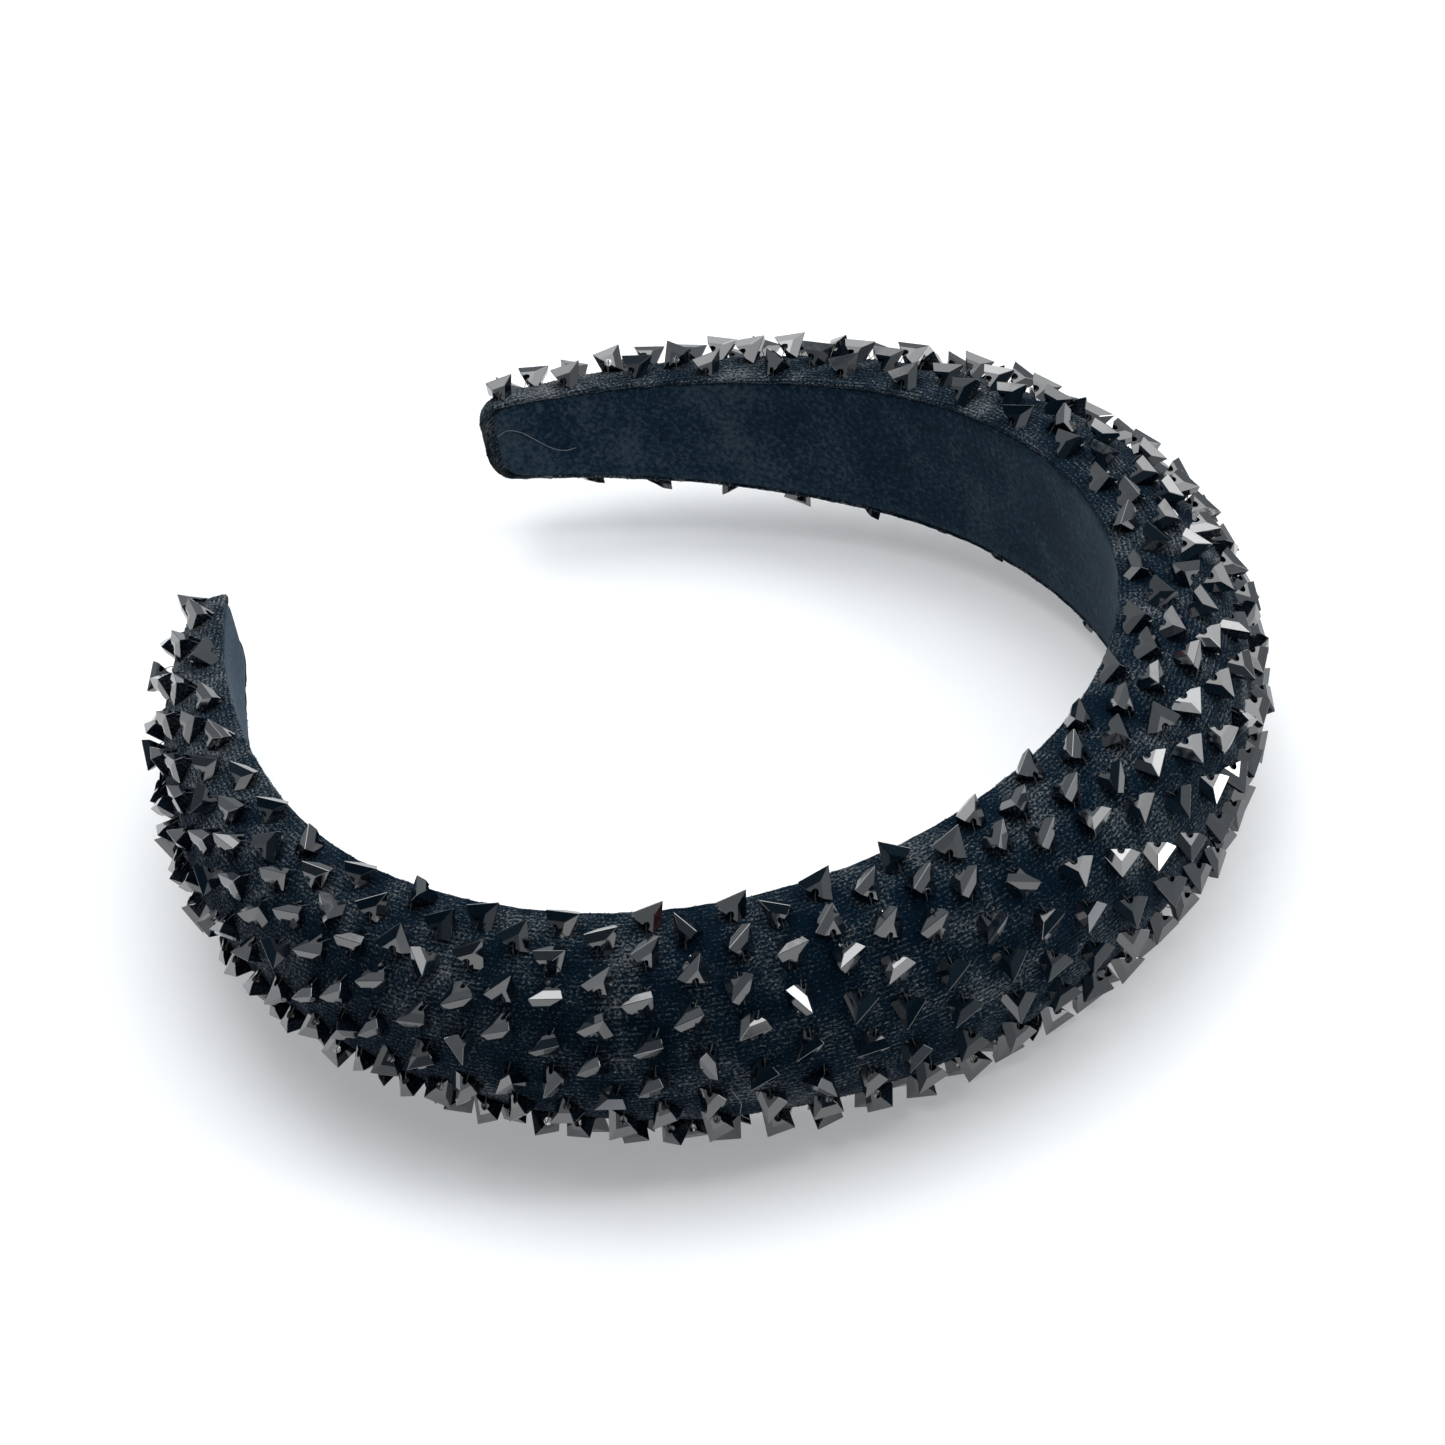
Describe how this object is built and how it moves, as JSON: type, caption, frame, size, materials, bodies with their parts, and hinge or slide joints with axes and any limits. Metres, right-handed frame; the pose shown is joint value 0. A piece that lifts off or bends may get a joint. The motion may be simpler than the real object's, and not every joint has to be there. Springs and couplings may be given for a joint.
{
  "type": "padded velvet headband",
  "caption": "Open padded hoop worn over the head, covered in velvet with faceted glass beads sewn all over its outside and a fabric lining against the hair.",
  "frame": {"origin": "on the surface the headband lies on, at the middle of its outline", "axes": "+Z across the width of the band, +Y towards the crown, X left and right"},
  "size_m": [0.1711, 0.1777, 0.0427],
  "materials": {
    "hoop_plastic": "matt",
    "foam": "matt",
    "velvet": "pile",
    "fabric_glue": "satin",
    "lining_fabric": "matt",
    "bead_glass": "polished",
    "sewing_thread": "matt"
  },
  "bodies": {
    "root": {"core_band": "hoop_plastic", "foam_pad": "foam", "velvet_cover": "velvet", "lining_glue": "fabric_glue", "inner_lining": "lining_fabric", "beads_left_tip": "bead_glass", "beads_left_arm": "bead_glass", "beads_left_side": "bead_glass", "beads_left_crown": "bead_glass", "beads_crown": "bead_glass", "beads_right_crown": "bead_glass", "beads_right_side": "bead_glass", "beads_right_arm": "bead_glass", "beads_right_tip": "bead_glass", "beads_upper_rim": "bead_glass", "beads_lower_rim": "bead_glass", "stitches_left_tip": "sewing_thread", "stitches_left_arm": "sewing_thread", "stitches_left_side": "sewing_thread", "stitches_left_crown": "sewing_thread", "stitches_crown": "sewing_thread", "stitches_right_crown": "sewing_thread", "stitches_right_side": "sewing_thread", "stitches_right_arm": "sewing_thread", "stitches_right_tip": "sewing_thread"}
  },
  "joints": []
}
